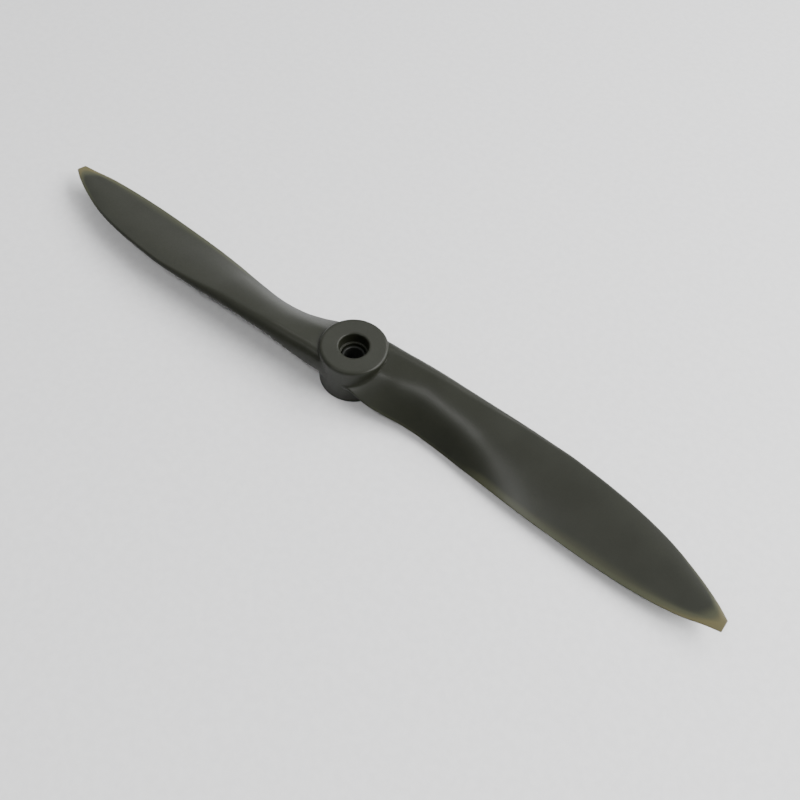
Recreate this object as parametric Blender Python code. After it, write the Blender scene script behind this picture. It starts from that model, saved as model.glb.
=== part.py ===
"""A two-blade moulded propeller for a model aircraft, 11 inches across, with its adapter ring.

Metres. +Z is the hub's axis and the direction of thrust, and +X runs along one blade's span.
The origin is on the axis at the hub's rear face, which rests against the drive washer.
Seen from the front, +Z, the propeller turns anticlockwise, so on the +X blade the leading
edge is the one on the +Y side. The -X blade is the same shape turned half a turn about Z.
"""

import math

import bmesh
import bpy
from mathutils import Matrix, Vector

MM = 0.001

# Driving dimensions, in millimetres.
PROP_DIAMETER = 279.4  # 11 inches
HUB_DIAMETER = 23.2
HUB_HEIGHT = 16.0
SHAFT_BORE = 6.35  # 1/4 inch, inside the adapter ring
RING_DIAMETER = 7.94  # 5/16 inch, outside the adapter ring
RING_GAP = 0.3  # from the ring to the hub, all round and under it
RING_TOP_DEPTH = 5.2  # from the front face down to the ring's top
COUNTERBORE_DIAMETER = 9.8
COUNTERBORE_DEPTH = 4.3

# Edge treatments, in millimetres.
FRONT_EDGE = 1.2  # round the hub's front face
REAR_EDGE = 0.4  # round its rear face
MOUTH_CHAMFER = 0.6
REAR_CHAMFER = 0.4
RING_CHAMFER = 0.25
CUT_PAST = 1.0  # how far the bore's cutter runs past each face
TRAILING_EDGE = 0.7  # the blade's thickness along its trailing edge

# The blade's design sections, in millimetres: distance from the axis along the span, the
# leading edge's Y and Z, the trailing edge's Y and Z, the crown above the chord near the nose,
# how much higher the middle bows up, the slope of the flank that runs down to the trailing
# edge, the softness of the crest between crown and flank, and the keel below the chord near
# the nose. The first one lies just past the axis, so that the two blades overlap in the hub.
STATIONS = (
    (-1.0, 10.8, 10.2, -10.2, 9.0, 4.6, 0.0, 0.48, 0.8, 4.0),
    (8.0, 11.3, 10.5, -10.9, 8.0, 4.8, 0.0, 0.44, 0.8, 3.2),
    (14.0, 11.5, 10.8, -10.9, 6.4, 4.9, 0.1, 0.42, 1.2, 2.3),
    (20.0, 11.7, 11.5, -9.7, 4.7, 4.2, 0.7, 0.41, 2.2, 1.6),
    (28.0, 11.6, 12.3, -8.3, 3.3, 3.4, 1.2, 0.41, 3.6, 1.0),
    (38.0, 11.6, 12.2, -8.1, 2.3, 2.7, 1.6, 0.46, 4.0, 0.8),
    (50.0, 11.6, 12.0, -9.2, 2.4, 2.3, 1.4, 0.47, 4.6, 0.7),
    (60.0, 11.8, 11.5, -10.3, 3.0, 1.8, 0.9, 0.36, 4.3, 0.6),
    (70.0, 11.7, 11.1, -11.3, 3.2, 1.3, 0.8, 0.24, 4.0, 0.5),
    (80.0, 11.4, 10.8, -12.0, 3.3, 0.9, 0.8, 0.14, 3.4, 0.5),
    (100.0, 9.1, 10.0, -12.9, 3.6, 0.8, 0.95, 0.09, 3.4, 0.45),
    (115.0, 5.8, 9.2, -12.8, 4.1, 0.6, 1.0, 0.09, 2.8, 0.45),
    (127.0, 1.3, 8.5, -11.8, 5.0, 0.5, 0.9, 0.09, 1.6, 0.4),
    (135.0, -2.6, 7.9, -10.1, 6.0, 0.5, 0.6, 0.08, 0.7, 0.38),
    (PROP_DIAMETER / 2, -5.5, 7.3, -9.3, 6.5, 0.42, 0.3, 0.06, 0.4, 0.36),
)

# How finely the solids are divided.
SECTIONS_PER_GAP = 2
SECTION_STEPS = 14
ROUND_SEGMENTS = 64
RING_SEGMENTS = 48

MOULDING_COLOUR = (0.062, 0.066, 0.054, 1.0)
RING_COLOUR = (0.11, 0.115, 0.105, 1.0)


def clear_scene():
    for obj in list(bpy.data.objects):
        bpy.data.objects.remove(obj, do_unlink=True)


def plastic(name, colour, roughness):
    material = bpy.data.materials.new(name)
    material.use_nodes = True
    shader = material.node_tree.nodes["Principled BSDF"]
    shader.inputs["Base Color"].default_value = colour
    shader.inputs["Roughness"].default_value = roughness
    shader.inputs["Metallic"].default_value = 0.0
    return material


def add_object(name, bm, material=None):
    """An object named name, from a bmesh in millimetres."""
    bmesh.ops.recalc_face_normals(bm, faces=bm.faces)
    bmesh.ops.scale(bm, vec=Vector((MM, MM, MM)), verts=bm.verts)
    mesh = bpy.data.meshes.new(name)
    bm.to_mesh(mesh)
    bm.free()
    mesh.shade_smooth()
    mesh.set_sharp_from_angle(angle=math.radians(35))
    obj = bpy.data.objects.new(name, mesh)
    bpy.context.scene.collection.objects.link(obj)
    if material:
        mesh.materials.append(material)
    return obj


def turned(profile, segments):
    """A closed solid of revolution about Z: profile is a list of (radius, height)."""
    bm = bmesh.new()
    rings = []
    for radius, height in profile:
        if radius == 0:
            rings.append([bm.verts.new((0, 0, height))])
            continue
        ring = []
        for step in range(segments):
            angle = 2 * math.pi * step / segments
            ring.append(bm.verts.new((radius * math.cos(angle), radius * math.sin(angle), height)))
        rings.append(ring)
    pairs = list(zip(rings, rings[1:]))
    if profile[0][0] > 0:
        pairs.append((rings[-1], rings[0]))
    for lower, upper in pairs:
        for step in range(segments):
            after = (step + 1) % segments
            corners = [lower[step % len(lower)], lower[after % len(lower)]]
            corners += [upper[after % len(upper)], upper[step % len(upper)]]
            bm.faces.new(dict.fromkeys(corners))
    return bm


def smooth_station(place):
    """The station at place, a number of stations along, on a smooth curve through them all."""
    index = min(int(place), len(STATIONS) - 2)
    share = place - index
    start, end = STATIONS[index], STATIONS[index + 1]
    span = end[0] - start[0]

    def slope(at):
        low, high = max(at - 1, 0), min(at + 1, len(STATIONS) - 1)
        run = STATIONS[high][0] - STATIONS[low][0]
        return [(b - a) / run for a, b in zip(STATIONS[low], STATIONS[high])]

    values = []
    for a, b, slope_a, slope_b in zip(start, end, slope(index), slope(index + 1)):
        curve = (2 * share**3 - 3 * share**2 + 1) * a
        curve += (share**3 - 2 * share**2 + share) * span * slope_a
        curve += (3 * share**2 - 2 * share**3) * b
        curve += (share**3 - share**2) * span * slope_b
        values.append(curve)
    values[0] = start[0] + share * span
    return values


def smooth_least(first, second, softness):
    """The lesser of two heights, rounded off where they cross."""
    near = max(1 - abs(first - second) / softness, 0)
    return min(first, second) - near**3 * softness / 6


def nose(distance, height):
    """How much of its height a section has at distance from its leading edge."""
    return math.sqrt(1 - (1 - min(distance / height, 1)) ** 3)


def section(station):
    """The blade's outline at a station: over the top from the trailing edge, and back below."""
    x, lead_y, lead_z, trail_y, trail_z, crown, bow, flank, softness, keel = station
    lead = Vector((lead_y, lead_z))
    chord = Vector((trail_y, trail_z)) - lead
    up = Vector((chord.y, -chord.x)).normalized()
    edge = TRAILING_EDGE / 2
    lost = edge - smooth_least(crown, edge, softness)  # what the softness takes off the end
    top, bottom = [], []
    for step in range(SECTION_STEPS + 1):
        place = (1 - math.cos(math.pi * step / SECTION_STEPS)) / 2
        along = place * chord.length
        bowed = crown + bow * 4 * place * (1 - place)
        above = smooth_least(bowed, edge + flank * (1 - place) * chord.length, softness)
        above += lost * place**3
        below = keel + (edge - keel) * place
        on_chord = lead + chord * place
        top.append(on_chord + up * above * nose(along, crown))
        bottom.append(on_chord - up * below * nose(along, keel))
    outline = top[::-1] + bottom[1:]
    return [(x, point.x, point.y) for point in outline]


def blade():
    """One blade along +X, closed at its root, inside the hub, and at its squared tip."""
    bm = bmesh.new()
    count = (len(STATIONS) - 1) * SECTIONS_PER_GAP
    outlines = []
    for index in range(count + 1):
        points = section(smooth_station(index / SECTIONS_PER_GAP))
        outlines.append([bm.verts.new(point) for point in points])
    for near, far in zip(outlines, outlines[1:]):
        for step in range(len(near)):
            after = (step + 1) % len(near)
            bm.faces.new((near[step], near[after], far[after], far[step]))
    bm.faces.new(outlines[0])
    bm.faces.new(outlines[-1])
    bmesh.ops.triangulate(bm, faces=bm.faces)
    return bm


def hub():
    radius = HUB_DIAMETER / 2
    return turned(
        [
            (0, 0),
            (radius - REAR_EDGE, 0),
            (radius, REAR_EDGE),
            (radius, HUB_HEIGHT - FRONT_EDGE),
            (radius - FRONT_EDGE * 0.7, HUB_HEIGHT - FRONT_EDGE * 0.3),
            (radius - FRONT_EDGE, HUB_HEIGHT),
            (0, HUB_HEIGHT),
        ],
        ROUND_SEGMENTS,
    )


def bore_cutter():
    """The stepped hole: a chamfered counterbore in front, and the ring's bore behind it."""
    bore = RING_DIAMETER / 2 + RING_GAP
    counterbore = COUNTERBORE_DIAMETER / 2
    mouth = counterbore + MOUTH_CHAMFER
    return turned(
        [
            (0, -CUT_PAST),
            (bore + REAR_CHAMFER + CUT_PAST, -CUT_PAST),
            (bore, REAR_CHAMFER),
            (bore, HUB_HEIGHT - COUNTERBORE_DEPTH),
            (counterbore, HUB_HEIGHT - COUNTERBORE_DEPTH),
            (counterbore, HUB_HEIGHT - MOUTH_CHAMFER),
            (mouth + CUT_PAST, HUB_HEIGHT + CUT_PAST),
            (0, HUB_HEIGHT + CUT_PAST),
        ],
        ROUND_SEGMENTS,
    )


def boolean(obj, other, operation):
    other.hide_render = True
    other.display_type = "WIRE"
    modifier = obj.modifiers.new(operation.lower(), "BOOLEAN")
    modifier.operation = operation
    modifier.object = other
    modifier.solver = "EXACT"


def propeller_moulding():
    """The hub and both blades, which are one moulding."""
    moulding = add_object(
        "propeller_moulding", hub(), plastic("moulding", MOULDING_COLOUR, 0.55)
    )
    first = add_object("blade_guide_a", blade())
    second = add_object("blade_guide_b", blade())
    second.data.transform(Matrix.Rotation(math.pi, 4, "Z"))
    boolean(moulding, first, "UNION")
    boolean(moulding, second, "UNION")
    boolean(moulding, add_object("bore_cutter", bore_cutter()), "DIFFERENCE")
    return moulding


def shaft_adapter_ring():
    """The loose ring that brings the hub's 5/16 inch bore down to a 1/4 inch shaft."""
    inner, outer = SHAFT_BORE / 2, RING_DIAMETER / 2
    low, high = RING_GAP, HUB_HEIGHT - RING_TOP_DEPTH
    profile = [
        (outer, low),
        (outer, high),
        (inner + RING_CHAMFER, high),
        (inner, high - RING_CHAMFER),
        (inner, low + RING_CHAMFER),
        (inner + RING_CHAMFER, low),
    ]
    material = plastic("adapter", RING_COLOUR, 0.5)
    return add_object("shaft_adapter_ring", turned(profile, RING_SEGMENTS), material)


def main():
    clear_scene()
    propeller_moulding()
    shaft_adapter_ring()


main()
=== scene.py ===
"""The looks of a moulded two-blade model aircraft propeller and its shaft adapter ring.

Lengths here are millimetres in the part's own frame, and become metres when a mesh is made:
+Z is the hub's axis, +X runs along one blade, and the rear face lies on the floor at Z = 0.
"""

import math

import bmesh
import bpy
import numpy as np
from mathutils import Matrix, Vector


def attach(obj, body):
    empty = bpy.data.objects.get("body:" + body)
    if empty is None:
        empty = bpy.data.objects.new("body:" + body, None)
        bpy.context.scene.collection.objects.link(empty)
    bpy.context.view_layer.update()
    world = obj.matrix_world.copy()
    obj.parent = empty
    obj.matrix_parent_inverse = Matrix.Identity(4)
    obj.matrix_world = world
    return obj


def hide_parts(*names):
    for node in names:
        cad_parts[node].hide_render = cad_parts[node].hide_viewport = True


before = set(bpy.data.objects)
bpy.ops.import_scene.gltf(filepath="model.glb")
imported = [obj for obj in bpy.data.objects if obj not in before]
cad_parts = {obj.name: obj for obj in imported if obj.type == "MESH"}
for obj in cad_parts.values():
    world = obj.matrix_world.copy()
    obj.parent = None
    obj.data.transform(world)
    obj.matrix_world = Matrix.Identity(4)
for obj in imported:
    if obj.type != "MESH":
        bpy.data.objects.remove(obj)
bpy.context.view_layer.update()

MM = 0.001

# The hub, the hole and the ring, as the CAD has them.
HUB_DIAMETER = 23.2
HUB_HEIGHT = 16.0
SHAFT_BORE = 6.35
RING_DIAMETER = 7.94
RING_GAP = 0.3
RING_TOP_DEPTH = 5.2
COUNTERBORE_DIAMETER = 9.8
COUNTERBORE_DEPTH = 4.3
REAR_CHAMFER = 0.4
RING_CHAMFER = 0.25

# How the hub's edges are rounded: round the front face, at the hole's mouth, and elsewhere.
HUB_ROUNDING = 1.3
MOUTH_ROUNDING = 0.8
SMALL_ROUNDING = 0.3
RING_ROUNDING = 0.12

# The blade's sections: distance from the axis, the leading edge's Y and Z, the trailing
# edge's Y and Z, and then how the section stands off its chord: the crown above it near the
# nose, how much higher the middle bows up, the slope of the flank that cuts the top off and
# runs down to the trailing edge, the softness of the crest between those two, and the keel
# below the chord near the nose.
TIP_RADIUS = 139.7
STATIONS = np.array((
    (-1.0, 10.8, 10.2, -10.2, 9.0, 4.6, 0.0, 0.48, 0.8, 4.0),
    (8.0, 11.3, 10.5, -10.9, 8.0, 4.8, 0.0, 0.44, 0.8, 3.2),
    (14.0, 11.5, 10.8, -10.9, 6.4, 4.9, 0.1, 0.42, 1.2, 2.3),
    (20.0, 11.7, 11.5, -9.7, 4.7, 4.2, 0.7, 0.41, 2.2, 1.6),
    (28.0, 11.6, 12.3, -8.3, 3.3, 3.4, 1.2, 0.41, 3.6, 1.0),
    (38.0, 11.6, 12.2, -8.1, 2.3, 2.7, 1.6, 0.46, 4.0, 0.8),
    (50.0, 11.6, 12.0, -9.2, 2.4, 2.3, 1.4, 0.47, 4.6, 0.7),
    (60.0, 11.8, 11.5, -10.3, 3.0, 1.8, 0.9, 0.36, 4.3, 0.6),
    (70.0, 11.7, 11.1, -11.3, 3.2, 1.3, 0.8, 0.24, 4.0, 0.5),
    (80.0, 11.4, 10.8, -12.0, 3.3, 0.9, 0.8, 0.14, 3.4, 0.5),
    (100.0, 9.1, 10.0, -12.9, 3.6, 0.8, 0.95, 0.09, 3.4, 0.45),
    (115.0, 5.8, 9.2, -12.8, 4.1, 0.6, 1.0, 0.09, 2.8, 0.45),
    (127.0, 1.3, 8.5, -11.8, 5.0, 0.5, 0.9, 0.09, 1.6, 0.4),
    (135.0, -2.6, 7.9, -10.1, 6.0, 0.5, 0.6, 0.08, 0.7, 0.38),
    (TIP_RADIUS, -5.5, 7.3, -9.3, 6.5, 0.42, 0.3, 0.06, 0.4, 0.36),
))
NOSE_REACH = 1.0  # how far the nose's rounding runs back along the chord, in crowns or keels
TRAILING_EDGE = 0.7
TIP_ROUNDING = 0.5  # the last stretch of the span, over which the tip's end face rounds off
FILLET = 1.8  # radius, where a blade runs into the hub's wall
FACE_UP_SHARE = 0.8  # how much of the fillet is left out where the blade's surface faces up

# How deep a blade's inner end is sunk into the hub's wall, and where that end closes.
ROOT_OVERLAP = 1.2
ROOT_LIFT = 0.02  # the fillet's first ring stands this far off the wall
ROOT_CENTRE_DEPTH = 4.0
ROOT_CENTRE_RISE = 1.0

# How finely the meshes are divided.
SECTION_STEPS = 46
SPAN_STEPS = 260
ROUND_SEGMENTS = 256
RING_SEGMENTS = 160
WALL_STEPS = 36
ARC_STEPS = 6
HALVINGS = 40  # of an interval, in a search for a point on a curve
SMOOTH_ANGLE = 40  # degrees between two faces, past which their edge is sharp

# Where the plastic looks thin, and so pale, in millimetres: along the trailing edge, less so
# towards the hub; and round the tip. Both edges of the outer blade are painted paler too,
# as a painted edge highlight.
EDGE_WALL = 0.68
EDGE_RISE = 0.05  # how the wall grows with the square of the distance from the trailing edge
EDGE_BAND = 2.5
INBOARD_END, INBOARD_FADE, INBOARD_GAIN = 58.0, 16.0, 0.5
# The outer blade's edges: a painted edge highlight, made by letting them read thinner than they
# are.
EDGE_GLINT_START, EDGE_GLINT_FADE, EDGE_GLINT_LOSS = 110.0, 20.0, 0.45
TIP_BAND, TIP_LOSS = 9.0, 0.9
HUB_BAND = 2.0  # around the hub's wall, where everything is thick

ROOT_SEARCH = (0.5, 30.0)  # the distances from the axis between which the fillets start
FLOOR_REACH = 3000.0
ROOM_LEVEL = 0.53  # the room's light, seen level to the sides
ROOM_SLOPE = 0.52  # how much more it is behind, and less in front

# The camera: where it stands, in metres, and how it is turned, in degrees.
CAMERA_PLACE = (0.10255, -0.13508, 0.23834)
CAMERA_HEADING = 31.5
CAMERA_BELOW_LEVEL = 56.13
CAMERA_ROLL = 5.85
CAMERA_LENS = 38.3


# ---------------------------------------------------------------- shapes


def between(low, high, share):
    return low + (high - low) * share


def stations_at(x):
    """The columns of STATIONS after the first at each distance in x, on smooth curves."""
    table = STATIONS
    slopes = np.empty_like(table)
    slopes[1:-1] = (table[2:] - table[:-2]) / (table[2:, :1] - table[:-2, :1])
    slopes[0] = (table[1] - table[0]) / (table[1, 0] - table[0, 0])
    slopes[-1] = (table[-1] - table[-2]) / (table[-1, 0] - table[-2, 0])
    index = np.clip(np.searchsorted(table[:, 0], x, side="right") - 1, 0, len(table) - 2)
    start, end = table[index], table[index + 1]
    span = (end[..., 0] - start[..., 0])[..., None]
    share = ((x - start[..., 0]) / span[..., 0])[..., None]
    curve = (2 * share**3 - 3 * share**2 + 1) * start
    curve += (share**3 - 2 * share**2 + share) * span * slopes[index]
    curve += (3 * share**2 - 2 * share**3) * end
    curve += (share**3 - share**2) * span * slopes[index + 1]
    return np.moveaxis(curve[..., 1:], -1, 0)


def smooth_least(first, second, softness):
    """The lesser of two heights, rounded off where they cross."""
    near = np.clip(1 - np.abs(first - second) / softness, 0, None)
    return np.minimum(first, second) - near**3 * softness / 6


def nose(distance, height):
    """How much of its height a section has at distance from its leading edge."""
    return np.sqrt(1 - (1 - np.clip(distance / (NOSE_REACH * height), 0, 1)) ** 3)


def section_heights(place, chord, shape):
    """The section's top and bottom, measured from its chord, at place along it."""
    crown, bow, flank, softness, keel = shape
    edge = TRAILING_EDGE / 2
    bowed = crown + bow * 4 * place * (1 - place)
    top = smooth_least(bowed, edge + flank * (1 - place) * chord, softness)
    top += (edge - smooth_least(crown, edge, softness)) * place**3
    bottom = -(keel + (edge - keel) * place)
    ending = squared_end((1 - place) * chord, edge)
    along = place * chord
    return top * nose(along, crown) * ending, bottom * nose(along, keel) * ending


def squared_end(distance, length):
    """1 away from an end, falling to 0 at it over length, as a nearly square rounded end."""
    inside = np.clip(1 - distance / length, 0, 1)
    return (1 - inside**4) ** 0.25


def skin(x, place, side):
    """Points on the blade's surface: side is 1 above the chord and -1 below it."""
    lead_y, lead_z, trail_y, trail_z, *shape = stations_at(x)
    chord_y, chord_z = trail_y - lead_y, trail_z - lead_z
    chord = np.hypot(chord_y, chord_z)
    top, bottom = section_heights(place, chord, shape)
    middle, half = (top + bottom) / 2, (top - bottom) / 2
    height = middle + side * half * squared_end(TIP_RADIUS - x, TIP_ROUNDING)
    y = lead_y + chord_y * place + chord_z / chord * height
    z = lead_z + chord_z * place - chord_y / chord * height
    return np.stack([x, y, z], -1)


def skin_normals(x, place, side):
    """Unit normals that point out of the blade."""
    step = 1e-3
    low, high = np.clip(place - step, 0, 1), np.clip(place + step, 0, 1)
    across = skin(x, high, side) - skin(x, low, side)
    along = skin(x + step, place, side) - skin(x - step, place, side)
    normal = np.cross(across, along) * side[..., None]
    return normal / np.linalg.norm(normal, axis=-1, keepdims=True)


def outside_hub(points):
    return np.hypot(points[..., 0], points[..., 1]) - HUB_DIAMETER / 2


def fillet_radius(points, normals):
    """The fillet where the blade meets the wall squarely, and less where they run together."""
    around = np.hypot(points[..., 0], points[..., 1])
    facing = (points[..., 0] * normals[..., 0] + points[..., 1] * normals[..., 1]) / around
    room = np.clip(HUB_HEIGHT - HUB_ROUNDING - points[..., 2], 0.1, FILLET)
    room *= 1 - FACE_UP_SHARE * np.clip(normals[..., 2], 0, 1)
    return room * np.sqrt(np.clip(1 - facing**2, 0, 1)), facing


def root_distances(place, side):
    """How far out each line along the blade starts, where its fillet reaches the hub's wall."""
    low, high = (np.full(place.shape, distance) for distance in ROOT_SEARCH)
    for _ in range(HALVINGS):
        x = (low + high) / 2
        points = skin(x, place, side)
        radius, facing = fillet_radius(points, skin_normals(x, place, side))
        clear = outside_hub(points) + radius * facing > 0
        high = np.where(clear, x, high)
        low = np.where(clear, low, x)
    return (low + high) / 2


def filleted_skin(x, place, side):
    """The blade's surface, lifted near the hub so that it runs smoothly into the wall."""
    points = skin(x, place, side)
    normals = skin_normals(x, place, side)
    radius, _ = fillet_radius(points, normals)
    radius = np.maximum(radius, 1e-3)
    low, high = np.zeros(x.shape), radius.copy()
    for _ in range(HALVINGS):
        lift = (low + high) / 2
        wall = outside_hub(points + normals * lift[..., None])
        blended = np.minimum(lift, wall)
        blended -= np.clip(radius - np.abs(lift - wall), 0, None) ** 2 / (4 * radius)
        high = np.where(blended > 0, lift, high)
        low = np.where(blended > 0, low, lift)
    return points + normals * ((low + high) / 2)[..., None]


def blade_rings():
    """The blade as closed rings of points, from inside the hub's wall out to the tip."""
    steps = np.arange(SECTION_STEPS + 1)
    # Points bunch towards both edges, and most of all round the blunt nose.
    places = ((1 - np.cos(np.pi * steps / SECTION_STEPS)) / 2) ** 1.5
    place = np.concatenate([places[::-1], places[1:-1]])
    side = np.concatenate([np.ones(SECTION_STEPS + 1), -np.ones(SECTION_STEPS - 1)])
    start = root_distances(place, side)
    share = np.linspace(0, 1, SPAN_STEPS + 1)
    # Rings stand closer together at the fillet and at the tip.
    ease = (share + 0.9 * share**3 * (1 - share) - 0.75 * share * (1 - share) ** 5)[:, None]
    x = between(start[None, :], TIP_RADIUS - 0.02, ease)
    place = np.broadcast_to(place, x.shape)
    side = np.broadcast_to(side, x.shape)
    rings = filleted_skin(x, place, side)
    on_wall, in_wall = HUB_DIAMETER / 2 + ROOT_LIFT, HUB_DIAMETER / 2 - ROOT_OVERLAP
    outer = rings[0].copy()
    outer[:, :2] *= (on_wall / np.hypot(outer[:, 0], outer[:, 1]))[:, None]
    inner = outer.copy()
    inner[:, :2] *= in_wall / on_wall
    return [inner, outer] + list(rings[1:])


def blade():
    bm = bmesh.new()
    rings = [[bm.verts.new(point) for point in ring] for ring in blade_rings()]
    for near, far in zip(rings, rings[1:]):
        for step in range(len(near)):
            after = (step + 1) % len(near)
            bm.faces.new((near[step], near[after], far[after], far[step]))
    depth, rise = HUB_DIAMETER / 2 - ROOT_CENTRE_DEPTH, HUB_HEIGHT / 2 + ROOT_CENTRE_RISE
    middle = bm.verts.new((depth, 0, rise))
    for step in range(len(rings[0])):
        bm.faces.new((rings[0][(step + 1) % len(rings[0])], rings[0][step], middle))
    last = rings[-1]
    for step in range(SECTION_STEPS):
        corners = [last[step], last[step + 1], last[-step - 1], last[-step]]
        bm.faces.new(list(dict.fromkeys(corners)))
    return bm


def rounded(profile, roundings, steps=ARC_STEPS):
    """A closed profile of (radius, height) corners, each one rounded by its own radius."""
    points = []
    for index, (corner, radius) in enumerate(zip(profile, roundings)):
        corner = Vector(corner)
        before = Vector(profile[index - 1]) - corner
        after = Vector(profile[(index + 1) % len(profile)]) - corner
        half_angle = before.angle(after) / 2
        reach = min(radius / math.tan(half_angle), before.length * 0.45, after.length * 0.45)
        start = corner + before.normalized() * reach
        end = corner + after.normalized() * reach
        for step in range(steps + 1):
            share = step / steps
            inner = start.lerp(corner, share)
            outer = corner.lerp(end, share)
            points.append(tuple(inner.lerp(outer, share)))
    return points


def divided(profile, longest):
    """The profile with points added so that no stretch is longer than longest."""
    points = []
    for index, start in enumerate(profile):
        end = profile[(index + 1) % len(profile)]
        pieces = max(1, math.ceil(math.dist(start, end) / longest))
        for piece in range(pieces):
            points.append(tuple(Vector(start).lerp(Vector(end), piece / pieces)))
    return points


def turned(profile, segments):
    """A ring-shaped solid of revolution about Z from a closed profile."""
    bm = bmesh.new()
    rings = []
    for radius, height in profile:
        angles = [2 * math.pi * step / segments for step in range(segments)]
        ring = [(radius * math.cos(a), radius * math.sin(a), height) for a in angles]
        rings.append([bm.verts.new(point) for point in ring])
    for lower, upper in zip(rings, rings[1:] + rings[:1]):
        for step in range(segments):
            after = (step + 1) % segments
            bm.faces.new((lower[step], lower[after], upper[after], upper[step]))
    return bm


def hub():
    """The hub with its stepped hole, every edge slightly rounded."""
    outer, bore = HUB_DIAMETER / 2, RING_DIAMETER / 2 + RING_GAP
    counterbore = COUNTERBORE_DIAMETER / 2
    shelf = HUB_HEIGHT - COUNTERBORE_DEPTH
    outside = rounded(
        [(outer, 0), (outer, HUB_HEIGHT), (counterbore, HUB_HEIGHT), (counterbore, shelf),
         (bore, shelf), (bore, REAR_CHAMFER), (bore + REAR_CHAMFER, 0)],
        [SMALL_ROUNDING, HUB_ROUNDING, MOUTH_ROUNDING] + [SMALL_ROUNDING] * 4,
    )
    return turned(divided(outside, HUB_HEIGHT / WALL_STEPS), ROUND_SEGMENTS)


def adapter_ring():
    inner, outer = SHAFT_BORE / 2, RING_DIAMETER / 2
    low, high = RING_GAP, HUB_HEIGHT - RING_TOP_DEPTH
    corners = [(outer, low), (outer, high), (inner + RING_CHAMFER, high),
               (inner, high - RING_CHAMFER), (inner, low + RING_CHAMFER),
               (inner + RING_CHAMFER, low)]
    profile = rounded(corners, [RING_ROUNDING] * len(corners), ARC_STEPS // 2)
    return turned(divided(profile, 1.0), RING_SEGMENTS)


def add_object(name, bm):
    """An object from a bmesh in millimetres."""
    bmesh.ops.recalc_face_normals(bm, faces=bm.faces)
    bmesh.ops.scale(bm, vec=Vector((MM, MM, MM)), verts=bm.verts)
    mesh = bpy.data.meshes.new(name)
    bm.to_mesh(mesh)
    bm.free()
    obj = bpy.data.objects.new(name, mesh)
    bpy.context.scene.collection.objects.link(obj)
    return obj


def joined(obj, others):
    """obj united with others, which are used up."""
    for other in others:
        modifier = obj.modifiers.new("union", "BOOLEAN")
        modifier.operation = "UNION"
        modifier.solver = "EXACT"
        modifier.object = other
    graph = bpy.context.evaluated_depsgraph_get()
    mesh = bpy.data.meshes.new_from_object(obj.evaluated_get(graph))
    obj.modifiers.clear()
    obj.data = mesh
    for other in others:
        bpy.data.objects.remove(other, do_unlink=True)


def shade(obj):
    obj.data.shade_smooth()
    obj.data.set_sharp_from_angle(angle=math.radians(SMOOTH_ANGLE))


def mark_wall_and_edge_glint(obj):
    """Stores how thick the plastic looks at each point, in millimetres.

    It starts from the section's thickness, capped near the trailing edge, and drops further
    round the tip. It also drops along the outer blade's edges, which paints an edge highlight
    there by making them read thinner and so paler.
    """
    count = len(obj.data.vertices)
    place = np.empty(count * 3)
    obj.data.vertices.foreach_get("co", place)
    place = place.reshape(-1, 3) / MM
    turn = np.where(place[:, 0] < 0, -1, 1)  # both blades are read as the +X one
    x, y = place[:, 0] * turn, place[:, 1] * turn
    lead_y, lead_z, trail_y, trail_z, *shape = stations_at(np.clip(x, 0, TIP_RADIUS))
    chord = np.hypot(trail_y - lead_y, trail_z - lead_z)
    share = np.clip((lead_y - y) / (lead_y - trail_y), 0.02, 0.98)
    top, bottom = section_heights(share, chord, shape)
    from_lead, from_trail = share * chord, (1 - share) * chord
    inboard = np.clip((INBOARD_END - x) / INBOARD_FADE, 0, 1)
    glint_outboard = np.clip((x - EDGE_GLINT_START) / EDGE_GLINT_FADE, 0, 1)
    near_tip = np.clip(1 - (TIP_RADIUS - x) / TIP_BAND, 0, 1)
    glint_near_lead = np.clip(1 - from_lead / EDGE_BAND, 0, 1)
    glint_near_trail = np.clip(1 - from_trail / EDGE_BAND, 0, 1)
    cap = EDGE_WALL + EDGE_RISE * from_trail**2 + INBOARD_GAIN * inboard
    wall = np.minimum(top - bottom, cap)
    # Painted edge highlight: the outer blade's edges read thinner, so they take the pale thin and
    # tip colours.
    wall -= EDGE_GLINT_LOSS * glint_outboard * (glint_near_lead + glint_near_trail)
    wall -= TIP_LOSS * near_tip**1.4
    wall = np.where(x < HUB_DIAMETER / 2 + HUB_BAND, HUB_HEIGHT, wall)
    layer = obj.data.attributes.new("wall_and_edge_glint", "FLOAT", "POINT")
    layer.data.foreach_set("value", wall.astype(np.float32))


# ---------------------------------------------------------------- materials


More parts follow.
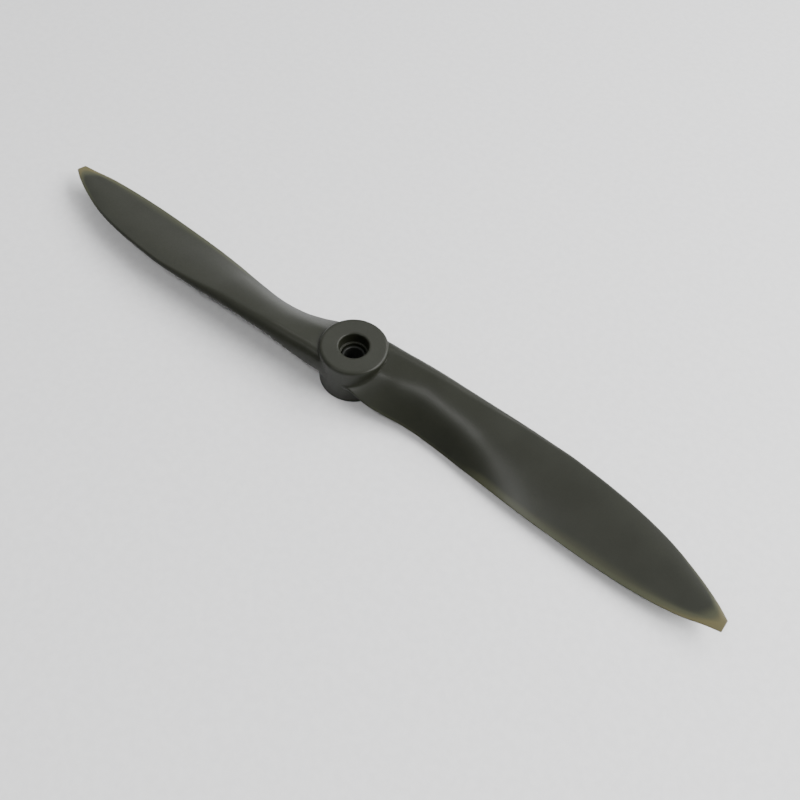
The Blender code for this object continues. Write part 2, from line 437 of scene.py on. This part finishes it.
class Nodes:
    """A small helper that adds nodes to a material and links them."""

    def __init__(self, name):
        self.material = bpy.data.materials.new(name)
        self.material.use_nodes = True
        self.tree = self.material.node_tree
        self.shader = self.tree.nodes["Principled BSDF"]

    def add(self, kind, values=None, **settings):
        node = self.tree.nodes.new(kind)
        for key, value in settings.items():
            setattr(node, key, value)
        for key, value in (values or {}).items():
            if isinstance(value, bpy.types.NodeSocket):
                self.tree.links.new(value, node.inputs[key])
            else:
                node.inputs[key].default_value = value
        return node

    def math(self, operation, first, second=0.0):
        return self.add("ShaderNodeMath", {0: first, 1: second}, operation=operation).outputs[0]

    def mix(self, share, first, second):
        node = self.add("ShaderNodeMix", data_type="RGBA")
        for key, value in (("Factor", share), ("A", first), ("B", second)):
            socket = next(s for s in node.inputs if s.enabled and s.name == key)
            if isinstance(value, bpy.types.NodeSocket):
                self.tree.links.new(value, socket)
            else:
                socket.default_value = value
        return next(s for s in node.outputs if s.enabled)

    def spread(self, value, low, high, to_low=0.0, to_high=1.0):
        """value carried from low..high to to_low..to_high with smooth ends."""
        node = self.add(
            "ShaderNodeMapRange",
            {0: value, 1: low, 2: high, 3: to_low, 4: to_high},
            interpolation_type="SMOOTHSTEP",
        )
        return node.outputs[0]

    def noise(self, place, per_metre, detail=2.0, roughness=0.5):
        node = self.add(
            "ShaderNodeTexNoise",
            {"Vector": place, "Scale": per_metre, "Detail": detail, "Roughness": roughness},
        )
        return node.outputs["Fac"]

    def place(self, stretch=(1, 1, 1)):
        coordinates = self.add("ShaderNodeTexCoord").outputs["Object"]
        return self.add("ShaderNodeMapping", {"Vector": coordinates, "Scale": stretch}).outputs[0]


def plastic(name, dark, pale, thin=None, tip=None):
    """Glass-filled nylon: satin, finely grained, flecked with short fibres."""
    nodes = Nodes(name)
    place = nodes.place()
    cloud = nodes.spread(nodes.noise(place, 90.0, 3.0), 0.3, 0.7)
    grain = nodes.noise(place, 2600.0, 3.0, 0.6)
    # Stretched along the blades, as the melt carries the fibres.
    fibres = nodes.noise(nodes.place((0.3, 1.4, 1.0)), 2200.0, 1.0)
    flecks = nodes.spread(fibres, 0.62, 0.74)
    colour = nodes.mix(nodes.math("MULTIPLY", cloud, 0.5), dark, pale)
    colour = nodes.mix(nodes.math("MULTIPLY", flecks, 0.35), colour, pale)
    if thin:
        wall = nodes.add("ShaderNodeAttribute", attribute_name="wall_and_edge_glint").outputs["Fac"]
        colour = nodes.mix(nodes.spread(wall, 0.6, 1.05, 1.0, 0.0), colour, thin)
        # The tip colour also paints the edge highlight along the outer blade's edges.
        colour = nodes.mix(nodes.spread(wall, 0.1, 0.65, 1.0, 0.0), colour, tip)
    nodes.tree.links.new(colour, nodes.shader.inputs["Base Color"])
    rough = nodes.spread(grain, 0.25, 0.75, 0.52, 0.64)
    nodes.tree.links.new(rough, nodes.shader.inputs["Roughness"])
    height = nodes.math("ADD", grain, nodes.math("MULTIPLY", flecks, 0.5))
    bump = nodes.add(
        "ShaderNodeBump", {"Height": height, "Strength": 0.35, "Distance": 0.00003}
    )
    nodes.tree.links.new(bump.outputs[0], nodes.shader.inputs["Normal"])
    nodes.shader.inputs["Specular IOR Level"].default_value = 0.22
    nodes.shader.inputs["Coat Weight"].default_value = 0.2
    nodes.shader.inputs["Coat Roughness"].default_value = 0.31
    return nodes.material


def floor_material():
    nodes = Nodes("floor")
    place = nodes.place()
    shade_share = nodes.spread(nodes.noise(place, 350.0, 4.0, 0.6), 0.3, 0.7)
    colour = nodes.mix(shade_share, (0.70, 0.70, 0.705, 1), (0.74, 0.74, 0.745, 1))
    nodes.tree.links.new(colour, nodes.shader.inputs["Base Color"])
    nodes.shader.inputs["Roughness"].default_value = 0.9
    nodes.shader.inputs["Specular IOR Level"].default_value = 0.2
    return nodes.material


# ---------------------------------------------------------------- pieces


def make_propeller():
    """The hub and both blades as one moulding."""
    piece = add_object("propeller", hub())
    first = add_object("blade_a", blade())
    second = add_object("blade_b", blade())
    second.data.transform(Matrix.Rotation(math.pi, 4, "Z"))
    joined(piece, [first, second])
    shade(piece)
    mark_wall_and_edge_glint(piece)
    dark, pale = (0.0074, 0.0084, 0.0036, 1), (0.0120, 0.0132, 0.0074, 1)
    piece.data.materials.clear()
    # The tip colour also serves as the painted edge highlight along the outer blade's edges.
    thin, tip = (0.036, 0.038, 0.019, 1), (0.078, 0.068, 0.028, 1)
    piece.data.materials.append(plastic("olive_nylon", dark, pale, thin, tip))
    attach(piece, "propeller")
    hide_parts("propeller_moulding")


def make_ring():
    piece = add_object("adapter", adapter_ring())
    shade(piece)
    piece.data.materials.append(
        plastic("grey_nylon", (0.010, 0.011, 0.009, 1), (0.016, 0.017, 0.014, 1))
    )
    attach(piece, "adapter_ring")
    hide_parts("shaft_adapter_ring")


def make_floor():
    bm = bmesh.new()
    bmesh.ops.create_grid(bm, x_segments=1, y_segments=1, size=FLOOR_REACH)
    floor = add_object("floor", bm)
    floor.data.materials.append(floor_material())


def add_area_light(name, place, size, power, colour=(1, 1, 1)):
    """A square light that faces the propeller."""
    data = bpy.data.lights.new(name, "AREA")
    data.shape = "RECTANGLE"
    data.size, data.size_y = size
    data.energy = power
    data.color = colour
    light = bpy.data.objects.new(name, data)
    light.location = place
    light.rotation_euler = (-Vector(place)).to_track_quat("-Z", "Y").to_euler()
    bpy.context.scene.collection.objects.link(light)


def make_lights():
    """A wide window behind on the right, small lamps round it, and a room paler behind."""
    add_area_light("window", (0.62, 0.74, 0.87), (1.7, 0.7), 31.0)
    add_area_light("side", (0.49, 0.09, 0.50), (0.3, 0.3), 3.3)
    add_area_light("lamp", (-0.16, -0.54, 1.07), (0.24, 0.24), 4.8)
    add_area_light("back", (-0.42, 0.55, 0.98), (0.4, 0.4), 1.6)
    world = bpy.data.worlds.new("studio")
    world.use_nodes = True
    nodes, links = world.node_tree.nodes, world.node_tree.links
    direction = nodes.new("ShaderNodeSeparateXYZ")
    links.new(nodes.new("ShaderNodeTexCoord").outputs["Generated"], direction.inputs[0])
    strength = nodes.new("ShaderNodeMath")
    strength.operation = "MULTIPLY_ADD"
    links.new(direction.outputs["Y"], strength.inputs[0])
    strength.inputs[1].default_value = ROOM_SLOPE
    strength.inputs[2].default_value = ROOM_LEVEL
    links.new(strength.outputs[0], nodes["Background"].inputs["Strength"])
    nodes["Background"].inputs["Color"].default_value = (0.985, 0.99, 1.0, 1)
    bpy.context.scene.world = world


def make_camera():
    data = bpy.data.cameras.new("camera")
    data.lens = CAMERA_LENS
    data.sensor_width = 36.0
    data.clip_start = 0.01
    camera = bpy.data.objects.new("camera", data)
    turn = Matrix.Rotation(math.radians(CAMERA_HEADING), 4, "Z")
    turn = turn @ Matrix.Rotation(math.radians(90 - CAMERA_BELOW_LEVEL), 4, "X")
    turn = turn @ Matrix.Rotation(math.radians(CAMERA_ROLL), 4, "Z")
    camera.matrix_world = Matrix.Translation(CAMERA_PLACE) @ turn
    bpy.context.scene.collection.objects.link(camera)
    bpy.context.scene.camera = camera


make_camera()
make_floor()
make_lights()
make_propeller()
make_ring()
